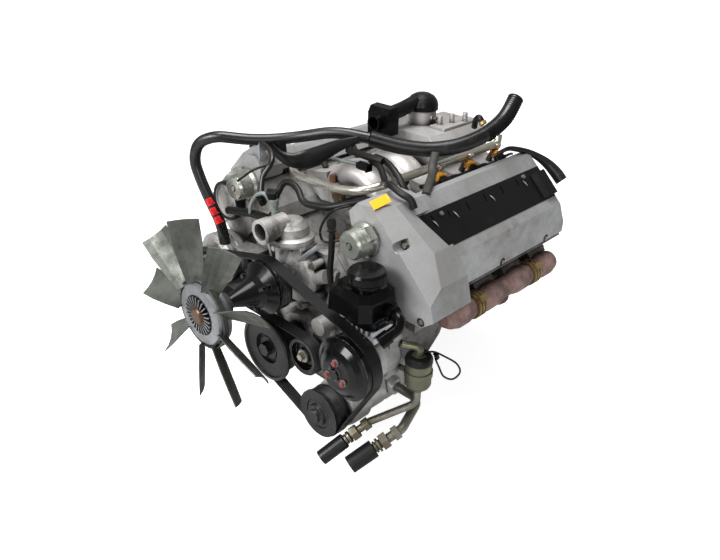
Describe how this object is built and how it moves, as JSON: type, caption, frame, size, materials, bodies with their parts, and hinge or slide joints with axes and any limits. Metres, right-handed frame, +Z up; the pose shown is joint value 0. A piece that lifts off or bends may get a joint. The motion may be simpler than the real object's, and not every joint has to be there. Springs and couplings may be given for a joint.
{
  "type": "V8 petrol engine",
  "caption": "Overhead-cam V engine with ribbed-belt accessory drive, bladed cooling fan, arched alloy intake, wiring harness, exhaust manifolds and closed sump.",
  "frame": {"origin": "crankshaft axis at the rear face of the block, at the mouth of the pilot bore", "axes": "+Y rearwards along the crankshaft out of the pilot bore, +Z up, +X towards the left bank (the right-hand bank seen from the fan)"},
  "size_m": [0.7354, 0.8548, 0.6848],
  "materials": {
    "cast_aluminium": "as cast, dirty",
    "cover_alloy": "die cast, aged",
    "intake_alloy": "pressure cast, pale",
    "fan_alloy": "dull, stained",
    "forged_steel": "ground",
    "black_pulley": "gloss black",
    "grey_iron": "sand cast",
    "gloss_black_plastic": "moulded",
    "belt_rubber": "matt",
    "plated_steel": "yellow zinc plate",
    "injector_plastic": "moulded",
    "rusty_iron": "rusty cast iron"
  },
  "bodies": {
    "engine": {"engine_block": "cast_aluminium", "main_bearing_caps": "forged_steel", "oil_pan": "cast_aluminium", "timing_case": "cast_aluminium", "water_pump": "cast_aluminium", "thermostat_housing": "cast_aluminium", "steering_pump": "cast_aluminium", "reservoir_bracket": "cast_aluminium", "steering_reservoir": "gloss_black_plastic", "reservoir_elbow": "gloss_black_plastic", "compressor": "cast_aluminium", "tensioner_arm": "grey_iron", "alternator": "cast_aluminium", "accessory_bracket": "cast_aluminium", "drive_belt": "belt_rubber", "timing_chain": "forged_steel", "intake_manifold": "intake_alloy", "throttle_body": "intake_alloy", "air_intake_hood": "belt_rubber", "air_meter": "gloss_black_plastic", "fuel_rail": "plated_steel", "injectors": "injector_plastic", "exhaust_clamps": "plated_steel", "receiver": "plated_steel", "refrigerant_pipes": "plated_steel", "wiring_harness": "belt_rubber", "coolant_hoses": "belt_rubber", "fasteners": "plated_steel", "stays": "plated_steel", "lead_covers": "gloss_black_plastic", "cam_adjusters": "plated_steel", "left_cylinder_head": "cast_aluminium", "left_cam_cover": "cover_alloy", "left_timing_cover": "cover_alloy", "left_exhaust_manifold": "rusty_iron", "right_cylinder_head": "cast_aluminium", "right_cam_cover": "cover_alloy", "right_timing_cover": "cover_alloy", "right_exhaust_manifold": "rusty_iron"},
    "crank": {"crankshaft": "forged_steel", "crank_damper": "black_pulley", "drive_plate": "forged_steel"},
    "pump_pulley": {"fan_pulley": "black_pulley"},
    "fan": {"fan_clutch": "fan_alloy", "fan_blades": "fan_alloy"},
    "steering_pulley": {"steering_pulley": "black_pulley"},
    "compressor_pulley": {"compressor_pulley": "black_pulley"},
    "compressor_shaft": {"compressor_clutch": "black_pulley"},
    "alternator_rotor": {"alternator_pulley": "black_pulley"},
    "roller": {"tensioner_roller": "black_pulley"},
    "chain_idler": {"chain_idler": "forged_steel"},
    "throttle": {"throttle_plate": "forged_steel"},
    "left_intake_cam": {"left_intake_camshaft": "forged_steel"},
    "left_exhaust_cam": {"left_exhaust_camshaft": "forged_steel"},
    "right_intake_cam": {"right_intake_camshaft": "forged_steel"},
    "right_exhaust_cam": {"right_exhaust_camshaft": "forged_steel"},
    "reservoir_cap": {"reservoir_cap": "gloss_black_plastic"},
    "oil_filler_cap": {"oil_filler_cap": "gloss_black_plastic"},
    "suction_cap": {"suction_pipe_cap": "belt_rubber"},
    "liquid_cap": {"liquid_pipe_cap": "belt_rubber"}
  },
  "joints": [
    {"name": "crank_spin", "type": "hinge", "parent": "engine", "child": "crank", "pos_m": [0, -0.3, 0], "axis": [0, 1, 0], "continuous": true},
    {"name": "water_pump_spin", "type": "hinge", "parent": "engine", "child": "pump_pulley", "pos_m": [0, -0.656, 0.151], "axis": [0, 1, 0], "continuous": true},
    {"name": "fan_spin", "type": "hinge", "parent": "pump_pulley", "child": "fan", "pos_m": [0, -0.8, 0.151], "axis": [0, 1, 0], "continuous": true},
    {"name": "steering_pump_spin", "type": "hinge", "parent": "engine", "child": "steering_pulley", "pos_m": [0.245, -0.656, 0.073], "axis": [0, 1, 0], "continuous": true},
    {"name": "compressor_pulley_spin", "type": "hinge", "parent": "engine", "child": "compressor_pulley", "pos_m": [0.166, -0.656, -0.082], "axis": [0, 1, 0], "continuous": true},
    {"name": "compressor_shaft_spin", "type": "hinge", "parent": "engine", "child": "compressor_shaft", "pos_m": [0.166, -0.656, -0.082], "axis": [0, 1, 0], "continuous": true},
    {"name": "alternator_spin", "type": "hinge", "parent": "engine", "child": "alternator_rotor", "pos_m": [-0.24, -0.656, 0.112], "axis": [0, 1, 0], "continuous": true},
    {"name": "tensioner_roller_spin", "type": "hinge", "parent": "engine", "child": "roller", "pos_m": [0.112, -0.656, 0.032], "axis": [0, 1, 0], "continuous": true},
    {"name": "chain_idler_spin", "type": "hinge", "parent": "engine", "child": "chain_idler", "pos_m": [0, -0.511, 0.13], "axis": [0, 1, 0], "continuous": true},
    {"name": "left_intake_cam_spin", "type": "hinge", "parent": "engine", "child": "left_intake_cam", "pos_m": [0.19092, -0.25, 0.25314], "axis": [0, 1, 0], "continuous": true},
    {"name": "left_exhaust_cam_spin", "type": "hinge", "parent": "engine", "child": "left_exhaust_cam", "pos_m": [0.25314, -0.25, 0.19092], "axis": [0, 1, 0], "continuous": true},
    {"name": "right_intake_cam_spin", "type": "hinge", "parent": "engine", "child": "right_intake_cam", "pos_m": [-0.19092, -0.25, 0.25314], "axis": [0, 1, 0], "continuous": true},
    {"name": "right_exhaust_cam_spin", "type": "hinge", "parent": "engine", "child": "right_exhaust_cam", "pos_m": [-0.25314, -0.25, 0.19092], "axis": [0, 1, 0], "continuous": true},
    {"name": "throttle_turn", "type": "hinge", "parent": "engine", "child": "throttle", "pos_m": [-0.03, -0.15, 0.406], "axis": [-1, 0, 0], "range_deg": [0, 80], "stiffness_Nm_per_rad": 0.05, "springref_deg": -20.05},
    {"name": "reservoir_cap_lift", "type": "slide", "parent": "engine", "child": "reservoir_cap", "axis": [0, 0, 1], "range_m": [0, 0.03]},
    {"name": "oil_filler_cap_lift", "type": "slide", "parent": "engine", "child": "oil_filler_cap", "axis": [-0.7071, 0, 0.7071], "range_m": [0, 0.03]},
    {"name": "suction_cap_pull", "type": "slide", "parent": "engine", "child": "suction_cap", "axis": [-0.3533, -0.8141, -0.4608], "range_m": [0, 0.05]},
    {"name": "liquid_cap_pull", "type": "slide", "parent": "engine", "child": "liquid_cap", "axis": [-0.3731, -0.7461, -0.5515], "range_m": [0, 0.05]}
  ],
  "couplings": [
    {"joint": "water_pump_spin", "follows": "crank_spin", "ratio": 1.1429},
    {"joint": "steering_pump_spin", "follows": "crank_spin", "ratio": 1},
    {"joint": "compressor_pulley_spin", "follows": "crank_spin", "ratio": 1.2549},
    {"joint": "alternator_spin", "follows": "crank_spin", "ratio": 1.9394},
    {"joint": "tensioner_roller_spin", "follows": "crank_spin", "ratio": -1.641},
    {"joint": "chain_idler_spin", "follows": "crank_spin", "ratio": -1},
    {"joint": "left_intake_cam_spin", "follows": "crank_spin", "ratio": 0.5},
    {"joint": "left_exhaust_cam_spin", "follows": "crank_spin", "ratio": 0.5},
    {"joint": "right_intake_cam_spin", "follows": "crank_spin", "ratio": 0.5},
    {"joint": "right_exhaust_cam_spin", "follows": "crank_spin", "ratio": 0.5}
  ]
}
